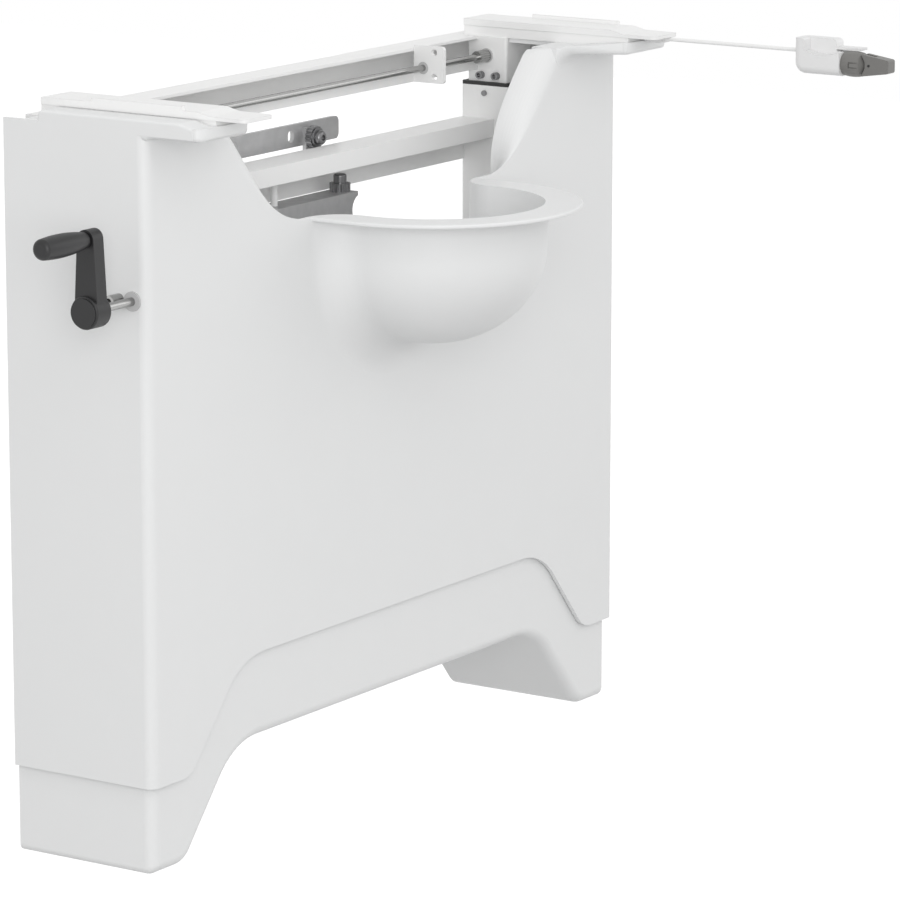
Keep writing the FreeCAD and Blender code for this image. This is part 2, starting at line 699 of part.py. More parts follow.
def upper_cover():
    """Moving outer cover: front and sides, notch with rolled edge, bowl, flange, lips, ridges, tops."""
    outside = box(-upper_half, upper_half, upper_front_y, lower_back_y, upper_low_z, COVER_TOP_Z)
    outside = fillet_where(
        outside, COVER_EDGE_R,
        lambda e: upright(e) and e.BoundBox.YMax < upper_front_y + 1)
    inside = box(-upper_in_half, upper_in_half, upper_in_y, 1, upper_low_z - 1, COVER_TOP_Z + 1)
    inside = fillet_where(
        inside, COVER_EDGE_R - UPPER_WALL,
        lambda e: upright(e) and e.BoundBox.YMax < upper_in_y + 1)
    shell = outside.cut(inside)
    crown = upper_low_z + ARCH_RISE
    below = upper_low_z - ARCH_RISE
    arch = [(-arch_foot_half, upper_low_z, ARCH_FOOT_R), (-ARCH_TOP_HALF, crown, ARCH_TOP_R),
            (ARCH_TOP_HALF, crown, ARCH_TOP_R), (arch_foot_half, upper_low_z, ARCH_FOOT_R),
            (upper_half, upper_low_z, 0), (upper_half, below, 0),
            (-upper_half, below, 0), (-upper_half, upper_low_z, 0)]
    shell = shell.cut(slab_xz(arch, upper_front_y - 1, upper_in_y + COVER_EDGE_R))
    floor_z = RIM_Z - BOWL_DEPTH
    over = RIM_Z + BOWL_FLARE_R
    bowl = bowl_body(BOWL_R, floor_z, over, upper_front_y, upper_in_y, BOWL_FLARE_R)
    hollow = bowl_body(
        BOWL_R - UPPER_WALL, floor_z + UPPER_WALL, over + 1, upper_in_y, upper_in_y + BOWL_SETOUT,
        BOWL_FLARE_R + UPPER_WALL)
    bowl = bowl.cut(box(-upper_half, upper_half, bowl_y - BOWL_R, upper_in_y, RIM_Z, over + 1))

    opening = box(-panel_split, panel_split, upper_front_y - 1, upper_in_y, panel_low_z, COVER_TOP_Z + 1)
    shell = shell.cut(opening)
    filler = box(-mouth_half, mouth_half, upper_front_y, upper_in_y, panel_low_z, RIM_Z)
    disc = Part.makeCylinder(BOWL_R + FLANGE_W, FLANGE_T, V(0, bowl_y, RIM_Z - FLANGE_T))
    apron = box(-BOWL_R - FLANGE_W, BOWL_R + FLANGE_W, bowl_y, upper_in_y, RIM_Z - FLANGE_T, RIM_Z)
    behind = box(-upper_half, upper_half, upper_in_y, 0, floor_z, RIM_Z + 1)
    flange = disc.fuse(apron).cut(behind).removeSplitter()
    flange = fillet_where(
        flange, FLANGE_EDGE_R,
        lambda e: e.BoundBox.ZLength < 1e-3 and e.BoundBox.YMin < upper_front_y - 1
        and e.BoundBox.YMax < upper_in_y - 1e-3)
    shell = shell.fuse([filler, bowl, flange]).removeSplitter()
    shell = shell.cut(hollow)

    inner_side = COLUMN_HALF + INNER_SIZE / 2 + TOP_GAP
    column_front = column_y - INNER_SIZE / 2 - TOP_GAP
    top_low = COVER_TOP_Z - TOP_T
    tuck = COLUMN_HALF - ARM_W / 2 + TOP_TUCK
    top = box(COLUMN_HALF - LIP_BACK_INSET, upper_in_half, upper_in_y, trim_y, top_low, COVER_TOP_Z)
    top = top.fuse([box(tuck, upper_in_half, trim_y, column_front, top_low, COVER_TOP_Z),
                    box(inner_side, upper_in_half, column_front, TOP_BACK_Y, top_low, COVER_TOP_Z)])
    trim = corner_trim()
    right = lip().cut(trim).fuse([top.cut(trim), ridge(), rolled_panel().cut(trim)]).removeSplitter()
    shell = shell.fuse([right, mirrored(right)]).removeSplitter()
    return shell.cut(rod_x(-upper_half - 1, -upper_in_half + 1, CRANK_Y, CRANK_Z, CRANK_BUSH_R))


def column_pieces():
    """Right-hand telescopic column: outer tube, base, guide cap, inner tube and its glide."""
    x = COLUMN_HALF
    outer = square_tube(x, column_y, OUTER_SIZE, outer_bore, outer_low_z, OUTER_TOP_Z)
    outer = outer.cut(rod_x(outer_face - 1, outer_face + OUTER_WALL + 1, column_y,
                            OUTER_TOP_Z - CAP_SCREW_DROP, CAP_SCREW_R))
    half = OUTER_SIZE / 2
    base = box(x - half, x + half, column_y - half, column_y + half, outer_low_z - BASE_T, outer_low_z)
    outer = outer.fuse(base).removeSplitter()
    inner = square_tube(x, column_y, INNER_SIZE, inner_bore, inner_low_z, COVER_TOP_Z)
    inner = inner.cut(rod_x(inner_face - 1, x, column_y, SHAFT_Z, bush_r))
    for side in (-0.5, 0.5):
        inner = inner.cut(rod_x(inner_face - 1, x, socket_y + side * SOCKET_SPACING, SOCKET_Z, SOCKET_R))
    cap_hole = INNER_SIZE + 2 * CAP_RUN_GAP
    cap = square_tube(x, column_y, OUTER_SIZE, cap_hole, OUTER_TOP_Z, OUTER_TOP_Z + CAP_T)
    skirt = square_tube(x, column_y, outer_bore, cap_hole, OUTER_TOP_Z - CAP_SKIRT, OUTER_TOP_Z)
    cap = cap.fuse(skirt).removeSplitter()
    cap = cap.cut(rod_x(outer_face, x - cap_hole / 2 + 1, column_y,
                        OUTER_TOP_Z - CAP_SCREW_DROP, CAP_SCREW_R))
    glide = square_tube(x, column_y, outer_bore - 2 * CAP_RUN_GAP, INNER_SIZE,
                        inner_low_z, inner_low_z + GLIDE_H)
    save_pair("outer_column", outer)
    save_pair("inner_column", inner)
    save_both("guide_caps", cap)
    save_both("column_glides", glide)


def bevel_gear(bore):
    """Mitre gear on +Z: cone apex at the origin, big end down, with cut teeth and a hub."""
    tip = GEAR_R - GEAR_TOOTH_GAP
    small = tip - GEAR_FACE * math.sqrt(0.5)
    cone = Part.makeCone(tip, small, tip - small, V(0, 0, -GEAR_R))
    hub = Part.makeCylinder(GEAR_HUB_R, GEAR_HUB_L, V(0, 0, -GEAR_R - GEAR_HUB_L))
    gear = cone.fuse(hub).cut(rod_z(-2 * GEAR_R, 0, 0, 0, bore))
    slot = box(0, 2 * GEAR_R, -TOOTH_W / 2, TOOTH_W / 2, 0, TOOTH_DEPTH * 2)
    slot.rotate(V(0, 0, 0), V(0, 1, 0), 45)
    drop = (TOOTH_DEPTH + GEAR_TOOTH_GAP) * math.sqrt(2)
    slot.translate(V(0, 0, -drop))
    for i in range(GEAR_TEETH):
        tooth_gap = slot.copy()
        tooth_gap.rotate(V(0, 0, 0), V(0, 0, 1), 360.0 / GEAR_TEETH * i)
        gear = gear.cut(tooth_gap)
    return gear


def spindle_pieces():
    """Right-hand spindle, its nut and nut tube, bearing, block and the two mitre gears."""
    x = COLUMN_HALF
    bearing_low = BLOCK_TOP_Z - BEARING_H
    shoulder = bearing_low - RUN_GAP
    spindle = rod_z(spindle_low_z, shoulder, x, column_y, SPINDLE_R)
    spindle = spindle.fuse(rod_z(shoulder, SHAFT_Z - GEAR_R, x, column_y, JOURNAL_R)).removeSplitter()
    nut = rod_z(nut_low_z, NUT_TOP_Z, x, column_y, NUT_R)
    nut = nut.cut(rod_z(nut_low_z - 1, NUT_TOP_Z + 1, x, column_y, SPINDLE_R + RUN_GAP))
    tube = rod_z(outer_low_z, nut_low_z, x, column_y, NUT_R)
    tube = tube.cut(rod_z(outer_low_z - 1, nut_low_z + 1, x, column_y, NUT_R - TUBE_WALL))
    half = inner_bore / 2 - BLOCK_GAP
    block = box(x - half, x + half, column_y - half, column_y + half, block_low_z, BLOCK_TOP_Z)
    cheek = box(x - half, x - half + CHEEK_T, column_y - half, column_y + half,
                BLOCK_TOP_Z, BLOCK_TOP_Z + CHEEK_H)
    block = block.fuse(cheek).removeSplitter()
    block = block.cut(rod_z(bearing_low, BLOCK_TOP_Z + 1, x, column_y, BEARING_R))
    block = block.cut(rod_z(block_low_z - 1, BLOCK_TOP_Z, x, column_y, SPINDLE_R + 1))
    for side in (-0.5, 0.5):
        block = block.cut(rod_x(inner_face, x - half + CHEEK_T + 1, socket_y + side * SOCKET_SPACING,
                                SOCKET_Z, SOCKET_R))
    bearing = rod_z(bearing_low, BLOCK_TOP_Z, x, column_y, BEARING_R)
    bearing = bearing.cut(rod_z(bearing_low - 1, BLOCK_TOP_Z + 1, x, column_y, JOURNAL_R + RUN_GAP))
    lower_gear = bevel_gear(JOURNAL_R)
    lower_gear.rotate(V(0, 0, 0), V(0, 0, 1), 180.0 / GEAR_TEETH)
    lower_gear.translate(V(x, column_y, SHAFT_Z))
    shaft_gear = bevel_gear(SHAFT_R)
    shaft_gear.rotate(V(0, 0, 0), V(0, 1, 0), 90)
    shaft_gear.translate(V(x, column_y, SHAFT_Z))
    save_pair("spindle", spindle)
    save_both("spindle_nuts", nut)
    save_both("nut_tubes", tube)
    save_both("bearing_blocks", block)
    save_both("spindle_bearings", bearing)
    save_pair("spindle_gear", lower_gear)
    save_pair("shaft_gear", shaft_gear)


def knurled(shape, centre, axis, radius, length, notches, notch_r):
    """Cuts small grooves along a round piece."""
    side = V(0, 0, 1) if abs(axis.z) < 0.5 else V(1, 0, 0)
    for i in range(notches):
        groove = Part.makeCylinder(notch_r, length, centre + side * radius, axis)
        groove.rotate(centre, axis, 360.0 / notches * i)
        shape = shape.cut(groove)
    return shape


def cross_shaft_pieces():
    """The steel shaft between the columns, its knurled collars, bushes and fixing plate."""
    gear_end = COLUMN_HALF - GEAR_R
    save("cross_shaft", rod_x(-gear_end, gear_end, column_y, SHAFT_Z, SHAFT_R))
    collar_end = inner_face - BUSH_FLANGE_T - RUN_GAP
    collar = rod_x(collar_end - COLLAR_L, collar_end, column_y, SHAFT_Z, COLLAR_R)
    collar = collar.cut(rod_x(0, gear_end, column_y, SHAFT_Z, SHAFT_R))
    collar = knurled(collar, V(collar_end - COLLAR_L, column_y, SHAFT_Z), V(1, 0, 0), COLLAR_R,
                     COLLAR_L, RING_NOTCHES, RING_NOTCH_R / 2)
    save_both("shaft_collars", collar)
    bush = rod_x(inner_face, inner_face + INNER_WALL, column_y, SHAFT_Z, bush_r)
    bush = bush.fuse(rod_x(inner_face - BUSH_FLANGE_T, inner_face, column_y, SHAFT_Z, BUSH_FLANGE_R))
    bush = bush.cut(rod_x(0, gear_end, column_y, SHAFT_Z, SHAFT_R + RUN_GAP)).removeSplitter()
    plate_bush = rod_x(FIX_X, FIX_X + FIX_T, column_y, SHAFT_Z, bush_r)
    drive_bush = rod_x(drive_x, drive_x + DRIVE_T, column_y, SHAFT_Z, bush_r)
    running = rod_x(-gear_end, gear_end, column_y, SHAFT_Z, SHAFT_R + RUN_GAP)
    save("shaft_bushes", bush, mirrored(bush), plate_bush.cut(running), drive_bush.cut(running))


def top_frame():
    """Rear channel between the inner columns, its angle on behind them, and the fixing plate on it."""
    back = BEAM_BACK_Y
    channel = [(back, beam_low_z), (back, COVER_TOP_Z), (beam_front_y, COVER_TOP_Z),
               (beam_front_y, COVER_TOP_Z - BEAM_T), (back - BEAM_T, COVER_TOP_Z - BEAM_T),
               (back - BEAM_T, beam_low_z + BEAM_T), (beam_front_y + BEAM_T, beam_low_z + BEAM_T),
               (beam_front_y + BEAM_T, beam_low_z + BEAM_LIP), (beam_front_y, beam_low_z + BEAM_LIP),
               (beam_front_y, beam_low_z)]
    beam = slab_yz([(a, b, 0) for a, b in channel], -inner_face, inner_face)
    tail = COLUMN_HALF + INNER_SIZE / 2
    behind = column_y + INNER_SIZE / 2 + TOP_GAP
    angle = [(back, beam_low_z), (back, COVER_TOP_Z), (behind, COVER_TOP_Z), (behind, COVER_TOP_Z - BEAM_T),
             (back - BEAM_T, COVER_TOP_Z - BEAM_T), (back - BEAM_T, beam_low_z)]
    beam = beam.fuse(slab_yz([(a, b, 0) for a, b in angle], -tail, tail)).removeSplitter()
    save("rear_top_beam", beam)
    front = beam_front_y - FIX_REACH
    top = COVER_TOP_Z + FIX_RISE
    plate = slab_yz([(front, beam_low_z, FIX_CORNER_R), (beam_front_y, beam_low_z, 0), (beam_front_y, top, 0),
                     (front, top, FIX_CORNER_R)], FIX_X, FIX_X + FIX_T)
    plate = plate.cut(rod_x(FIX_X - 1, FIX_X + FIX_T + 1, column_y, SHAFT_Z, bush_r))
    middle = (beam_low_z + top) / 2
    for side in (-0.5, 0.5):
        hole_z = middle + side * FIX_HOLE_SPACING
        plate = plate.cut(rod_x(FIX_X - 1, FIX_X + FIX_T + 1, front + FIX_HOLE_EDGE, hole_z, FIX_HOLE_R))
    save("fixing_plate", plate)


def arm_pieces():
    """Right-hand basin arm: bar, top plate that steps down to a thin tongue, and a side rib."""
    x = COLUMN_HALF
    half = ARM_W / 2
    edge = half + ARM_LIP
    bar = box(x - half, x + half, ARM_BAR_FRONT_Y, ARM_BACK_Y, COVER_TOP_Z, arm_plate_z)
    side = [(ARM_BACK_Y, arm_plate_z), (ARM_TIP_Y, arm_plate_z), (ARM_TIP_Y, arm_tongue_z),
            (ARM_STEP_Y - ARM_STEP_RUN, arm_tongue_z), (ARM_STEP_Y, arm_top_z), (ARM_BACK_Y, arm_top_z)]
    plate = slab_yz([(a, b, 0) for a, b in side], x - edge, x + edge)
    plate = fillet_where(plate, ARM_TIP_R, lambda e: upright(e) and e.BoundBox.YMax < ARM_TIP_Y + 1)
    rib = box(x + edge - ARM_RIB_W, x + edge, ARM_RIB_FRONT_Y, ARM_RIB_BACK_Y,
              arm_top_z, arm_top_z + ARM_RIB_H)
    save_pair("arm", bar.fuse([plate, rib]).removeSplitter())


def socket_screw(x, y, z):
    """A socket screw along X with its head on the inner side."""
    shank = rod_x(x, x + INNER_WALL + CHEEK_T, y, z, SOCKET_R)
    head = rod_x(x - SOCKET_HEAD_H, x, y, z, SOCKET_HEAD_R)
    screw = shank.fuse(head).removeSplitter()
    return screw.cut(rod_x(x - SOCKET_HEAD_H - 1, x - SOCKET_HEAD_H / 2, y, z, SOCKET_HEX_R))


def screw_pieces():
    """Socket screws of the bearing blocks and the small screws of the guide caps."""
    column = [socket_screw(inner_face, socket_y + side * SOCKET_SPACING, SOCKET_Z) for side in (-0.5, 0.5)]
    save_both("column_screws", *column)
    z = OUTER_TOP_Z - CAP_SCREW_DROP
    shank_end = COLUMN_HALF - INNER_SIZE / 2 - CAP_RUN_GAP
    cap = rod_x(outer_face, shank_end, column_y, z, CAP_SCREW_R)
    head = rod_x(outer_face - CAP_SCREW_HEAD_H, outer_face, column_y, z, CAP_SCREW_HEAD_R)
    save_both("cap_screws", cap.fuse(head).removeSplitter())


def fixed_frame():
    """Middle cross beam, the two wall rails and the brackets that hold the lower cover."""
    back = MID_BACK_Y
    fold = [(back, MID_TOP_Z - MID_WEB), (back, MID_TOP_Z), (mid_front_y, MID_TOP_Z),
            (mid_front_y, MID_TOP_Z - MID_LIP), (mid_front_y + MID_T, MID_TOP_Z - MID_LIP),
            (mid_front_y + MID_T, MID_TOP_Z - MID_T), (back - MID_T, MID_TOP_Z - MID_T),
            (back - MID_T, MID_TOP_Z - MID_WEB)]
    save("mid_cross_beam", slab_yz([(a, b, 0) for a, b in fold], -outer_face, outer_face))
    column_back = column_y + OUTER_SIZE / 2
    for name, row_z in (("upper_wall_rail", BOLT_RISE), ("lower_wall_rail", -BOLT_RISE)):
        low = row_z - RAIL_H / 2
        rail = box(-column_side, column_side, -RAIL_T, 0, low, low + RAIL_H)
        block = box(outer_face, outer_face + OUTER_SIZE, column_back, -RAIL_T, low, low + RAIL_H)
        rail = rail.fuse([block, mirrored(block)]).removeSplitter()
        for side in (1, -1):
            rail = rail.cut(rod_y(-RAIL_T - 1, 1, side * bolt_half, row_z, BOLT_HOLE_R))
        save(name, rail)
    cover_side = lower_half - LOWER_WALL
    tie = box(column_side, cover_side, column_y - TIE_D / 2, column_y + TIE_D / 2,
              TIE_TOP_Z - TIE_H, TIE_TOP_Z)
    save_both("cover_brackets", tie)


def service_pieces():
    """Grey plate on the wall with slots, its lugs on the middle beam, and its bolts and rings."""
    top = PLATE_LOW_Z + PLATE_H
    half = PLATE_L / 2
    plate = slab_xz([(-half, PLATE_LOW_Z, PLATE_CORNER_R), (half, PLATE_LOW_Z, PLATE_CORNER_R),
                     (half, top, PLATE_CORNER_R), (-half, top, PLATE_CORNER_R)], -PLATE_T, 0)
    bolt_z = PLATE_LOW_Z + PLATE_H / 2 - SERVICE_BOLT_DROP
    slot_z = PLATE_LOW_Z + PLATE_H / 2
    for side in (1, -1):
        slot_half = PLATE_SLOT_L / 2 - PLATE_SLOT_R
        slot = box(side * PLATE_SLOT_X - PLATE_SLOT_R, side * PLATE_SLOT_X + PLATE_SLOT_R, -PLATE_T - 1, 1,
                   slot_z - slot_half, slot_z + slot_half)
        for end in (slot_half, -slot_half):
            slot = slot.fuse(rod_y(-PLATE_T - 1, 1, side * PLATE_SLOT_X, slot_z + end, PLATE_SLOT_R))
        plate = plate.cut(slot)
        plate = plate.cut(rod_y(-PLATE_T - 1, 1, side * LUG_X, bolt_z, SERVICE_BOLT_R))
    save("service_plate", plate)
    front = -PLATE_T - LUG_T
    foot = PLATE_LOW_Z - LUG_DROP
    lug = slab_yz([(MID_BACK_Y, foot, 0), (front + LUG_T, foot, 0), (front + LUG_T, top - LUG_T, 0),
                   (front, top - LUG_T, 0), (front, foot + LUG_T, 0), (MID_BACK_Y, foot + LUG_T, 0)],
                  LUG_X - LUG_W / 2, LUG_X + LUG_W / 2)
    lug = lug.cut(rod_y(front - 1, 1, LUG_X, bolt_z, SERVICE_BOLT_R))
    save_both("plate_lugs", lug)
    ring_front = front - SERVICE_RING_T
    ring = rod_y(ring_front, front, LUG_X, bolt_z, SERVICE_RING_R)
    ring = knurled(ring, V(LUG_X, ring_front, bolt_z), V(0, 1, 0), SERVICE_RING_R, SERVICE_RING_T,
                   RING_NOTCHES, RING_NOTCH_R)
    washer_front = ring_front - SERVICE_WASHER_T
    washer = rod_y(washer_front, ring_front, LUG_X, bolt_z, SERVICE_WASHER_R)
    shank = rod_y(washer_front, 0, LUG_X, bolt_z, SERVICE_BOLT_R)
    head = rod_y(washer_front - SERVICE_HEAD_H, washer_front, LUG_X, bolt_z, SERVICE_HEAD_R)
    head = fillet_where(head, SERVICE_HEAD_ROUND, lambda e: on_plane_y(e, washer_front - SERVICE_HEAD_H))
    bolt = shank.fuse(head).removeSplitter()
    bolt = bolt.cut(rod_y(washer_front - SERVICE_HEAD_H - 1, washer_front - SERVICE_HEAD_H / 2, LUG_X, bolt_z,
                          SERVICE_HEX_R))
    ring = ring.cut(shank)
    washer = washer.cut(shank)
    save_both("service_rings", ring)
    save_both("service_washers", washer)
    save_both("service_bolts", bolt)


def pipe_bracket_pieces():
    """Grey angle under the middle beam, hung on two white pins, with its upright bolt and nut."""
    front = PIPE_BACK_Y - PIPE_D
    flange = box(PIPE_LEFT, PIPE_RIGHT, front, PIPE_BACK_Y, PIPE_TOP_Z - PIPE_T, PIPE_TOP_Z)
    face = box(PIPE_LEFT, PIPE_RIGHT, front, front + PIPE_T, PIPE_TOP_Z - PIPE_FALL, PIPE_TOP_Z)
    angle = flange.fuse(face).removeSplitter()
    for i in range(2):
        scallop_x = PIPE_RIGHT + PIPE_SCALLOP_PAST - i * PIPE_SCALLOP_STEP
        scallop_z = PIPE_TOP_Z - PIPE_T - PIPE_SCALLOP_R - i * PIPE_SCALLOP_FALL
        angle = angle.cut(rod_y(front - 1, front + PIPE_T + 1, scallop_x, scallop_z, PIPE_SCALLOP_R))
    pin_y = PIPE_BACK_Y - PIPE_D / 2
    angle = angle.cut(rod_z(PIPE_TOP_Z - PIPE_T - 1, PIPE_TOP_Z + 1, PIPE_BOLT_X, pin_y, PIPE_BOLT_R))
    for i in range(3):
        angle = angle.cut(rod_y(front - 1, front + PIPE_T + 1, PIN_X + i * PIPE_HOLE_PITCH,
                                PIPE_TOP_Z - PIPE_FALL / 2, PIPE_HOLE_R))
    save("pipe_bracket", angle)
    pins = [rod_z(PIPE_TOP_Z, MID_TOP_Z - MID_T, PIN_X - i * PIN_PITCH, pin_y, PIN_R) for i in range(2)]
    save("bracket_pins", *pins)
    nut = rod_z(PIPE_TOP_Z, PIPE_TOP_Z + PIPE_NUT_H, PIPE_BOLT_X, pin_y, PIPE_NUT_R)
    nut = knurled(nut, V(PIPE_BOLT_X, pin_y, PIPE_TOP_Z), V(0, 0, 1), PIPE_NUT_R, PIPE_NUT_H,
                  RING_NOTCHES, RING_NOTCH_R)
    stem_low = PIPE_TOP_Z - PIPE_T
    nut_top = PIPE_TOP_Z + PIPE_NUT_H
    stem = rod_z(stem_low, nut_top, PIPE_BOLT_X, pin_y, PIPE_BOLT_R)
    head = rod_z(nut_top, nut_top + PIPE_HEAD_H, PIPE_BOLT_X, pin_y, PIPE_HEAD_R)
    head = fillet_where(
        head, PIPE_HEAD_ROUND,
        lambda e: e.BoundBox.ZMin > nut_top + 1 and not e.BoundBox.ZLength)
    save("knurled_nut", nut.cut(stem))
    save("bracket_bolt", stem.fuse(head).removeSplitter())


def crank_pieces():
    """Hand crank on the left side: shaft, arm with its hub, cap, grip and pin, bush and parking eye."""
    drive_end = drive_x + DRIVE_T
    shaft = rod_x(hub_face_x, drive_end, CRANK_Y, CRANK_Z, CRANK_SHAFT_R)
    save("crank_shaft", shaft)
    arm = link_yz(CRANK_Y, CRANK_Z, CRANK_ARM_HUB_R, CRANK_Y, grip_z, CRANK_ARM_TOP_R, arm_face_x, arm_back_x)
    arm = arm.fuse(rod_x(hub_face_x, hub_back_x, CRANK_Y, CRANK_Z, HUB_R)).removeSplitter()
    arm = fillet_where(
        arm, CRANK_EDGE_R,
        lambda e: e.BoundBox.XLength < 1e-3
        and (e.BoundBox.XMin < hub_face_x + 1e-3 or e.BoundBox.XMax > hub_back_x - 1e-3))
    arm = arm.cut(rod_x(hub_face_x - 1, hub_back_x + 1, CRANK_Y, CRANK_Z, CRANK_SHAFT_R))
    arm = arm.cut(rod_x(arm_face_x - 1, arm_back_x + 1, CRANK_Y, grip_z, GRIP_PIN_R))
    save("crank_arm", arm)
    save("crank_cap", rod_x(hub_face_x - CRANK_CAP_T, hub_face_x, CRANK_Y, CRANK_Z, CRANK_CAP_R))
    grip_start = arm_face_x - GRIP_GAP
    grip_end = grip_start - GRIP_L
    top = GRIP_END_ROUND
    bend = top * (1 - math.sqrt(0.5))
    outline = [V(grip_start, CRANK_Y, grip_z), V(grip_start, CRANK_Y, grip_z + GRIP_NECK_R)]
    end_middle = V(grip_end, CRANK_Y, grip_z)
    end_edge = V(grip_end, CRANK_Y, grip_z + GRIP_END_R - top)
    belly = [V(grip_start, CRANK_Y, grip_z + GRIP_NECK_R),
             V(grip_start - GRIP_BELLY_AT, CRANK_Y, grip_z + GRIP_BELLY_R),
             V(grip_end + top, CRANK_Y, grip_z + GRIP_END_R)]
    edges = [
        Part.LineSegment(outline[0], outline[1]).toShape(),
        Part.Arc(*belly).toShape(),
        Part.Arc(belly[2], V(grip_end + bend, CRANK_Y, grip_z + GRIP_END_R - bend), end_edge).toShape(),
        Part.LineSegment(end_edge, end_middle).toShape(),
        Part.LineSegment(end_middle, outline[0]).toShape(),
    ]
    grip = Part.Face(Part.Wire(edges)).revolve(outline[0], V(1, 0, 0), 360)
    pin_end = grip_end + GRIP_PIN_FREE
    bore = rod_x(pin_end - RUN_GAP, grip_start + 1, CRANK_Y, grip_z, GRIP_PIN_R + RUN_GAP)
    save("crank_grip", Part.Solid(grip).cut(bore))
    save("grip_pin", rod_x(pin_end, arm_back_x, CRANK_Y, grip_z, GRIP_PIN_R))
    flange_x = -upper_half - CRANK_BUSH_FLANGE_T
    bush = rod_x(-upper_half, -upper_in_half, CRANK_Y, CRANK_Z, CRANK_BUSH_R)
    bush = bush.fuse(rod_x(flange_x, -upper_half, CRANK_Y, CRANK_Z, CRANK_BUSH_FLANGE_R)).removeSplitter()
    save("crank_bush", bush.cut(rod_x(flange_x - 1, 0, CRANK_Y, CRANK_Z, CRANK_SHAFT_R + RUN_GAP)))
    eye = rod_x(-upper_half - EYE_L, -upper_half, EYE_Y, CRANK_Z, EYE_R)
    eye_end = -upper_half - EYE_L
    save("parking_eye", eye.cut(rod_x(eye_end - 1, eye_end + EYE_BORE_L, EYE_Y, CRANK_Z, EYE_BORE_R)))


def pulley(y, z, bore):
    half = BELT_W / 2 + BELT_T / 2
    body = rod_x(belt_x - half, belt_x + half, y, z, PULLEY_R)
    for side in (-half - PULLEY_FLANGE_T, half):
        body = body.fuse(rod_x(belt_x + side, belt_x + side + PULLEY_FLANGE_T, y, z, PULLEY_FLANGE_R))
    return body.cut(rod_x(belt_x - 2 * BELT_W, belt_x + 2 * BELT_W, y, z, bore)).removeSplitter()


def drive_pieces():
    """Toothed belt drive from the crank shaft up to the cross shaft, and the plate that carries it."""
    save("crank_pulley", pulley(CRANK_Y, CRANK_Z, CRANK_SHAFT_R))
    save("shaft_pulley", pulley(column_y, SHAFT_Z, SHAFT_R))
    inside = PULLEY_R + RUN_GAP
    half = BELT_W / 2
    outside = inside + BELT_T
    belt = link_yz(CRANK_Y, CRANK_Z, outside, column_y, SHAFT_Z, outside, belt_x - half, belt_x + half)
    save("drive_belt", belt.cut(
        link_yz(CRANK_Y, CRANK_Z, inside, column_y, SHAFT_Z, inside, belt_x - half - 1, belt_x + half + 1)))
    plate = link_yz(CRANK_Y, CRANK_Z, PULLEY_FLANGE_R, column_y, SHAFT_Z, DRIVE_R, drive_x, drive_x + DRIVE_T)
    tab_low = SHAFT_Z - DRIVE_R
    tab = box(drive_x, drive_x + DRIVE_T, column_y, beam_front_y, tab_low, tab_low + DRIVE_TAB_H)
    plate = plate.fuse(tab).removeSplitter()
    plate = plate.cut(rod_x(drive_x - 1, drive_x + DRIVE_T + 1, column_y, SHAFT_Z, bush_r))
    save("drive_plate", plate.cut(
        rod_x(drive_x - 1, drive_x + DRIVE_T + 1, CRANK_Y, CRANK_Z, CRANK_SHAFT_R + RUN_GAP)))


